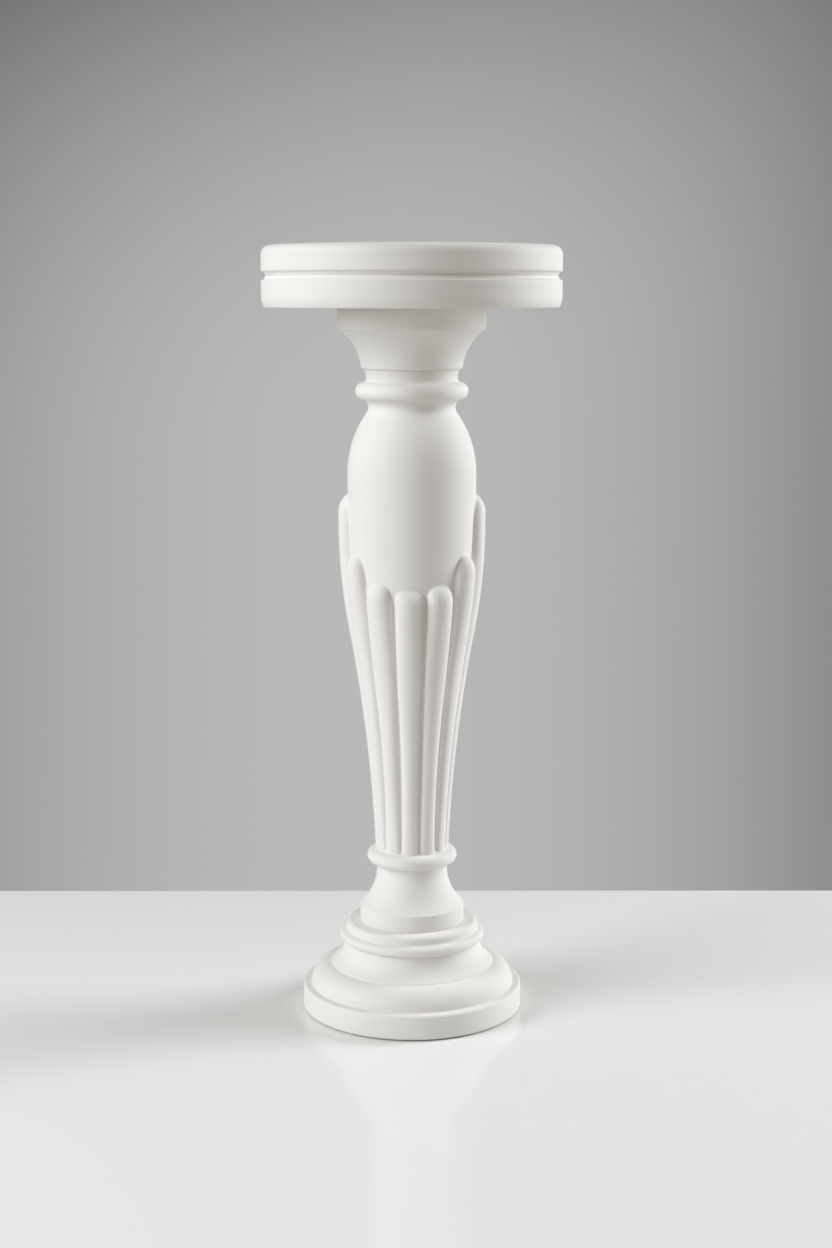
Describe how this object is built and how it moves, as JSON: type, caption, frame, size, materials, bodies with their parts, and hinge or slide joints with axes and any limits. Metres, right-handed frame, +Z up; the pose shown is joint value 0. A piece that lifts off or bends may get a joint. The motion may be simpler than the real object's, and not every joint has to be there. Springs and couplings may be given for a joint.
{
  "type": "pedestal column stand",
  "caption": "Tall round-topped pedestal stand: a turned column with carved ribs between a grooved disc top and a stepped round base, for a plant or an ornament.",
  "frame": {"origin": "on the floor, in the middle of the base, under the column's axis", "axes": "+Z up along the column, -Y towards the front, where the rib ends hang lowest, +X to the right"},
  "size_m": [0.305, 0.305, 0.8],
  "materials": {
    "white_lacquer": "matt warm-white sprayed lacquer over filled and sanded hardwood",
    "beech": "plain sanded beech",
    "zinc_steel": "bright zinc plate",
    "cast_iron": "black primed casting",
    "fibreboard": "bare brown fibreboard",
    "felt": "dark grey pressed wool felt, glued on"
  },
  "bodies": {
    "root": {"upper_board": "white_lacquer", "lower_board": "white_lacquer", "board_screws": "zinc_steel", "capital": "white_lacquer", "capital_dowels": "beech", "shaft": "white_lacquer", "foot": "white_lacquer", "moulding_ring": "white_lacquer", "plinth": "white_lacquer", "tie_rod": "zinc_steel", "upper_nut": "zinc_steel", "upper_washer": "zinc_steel", "ballast_disc": "cast_iron", "lower_washer": "zinc_steel", "lower_nut": "zinc_steel", "base_cover": "fibreboard", "cover_screws": "zinc_steel", "felt_disc": "felt"}
  },
  "joints": []
}
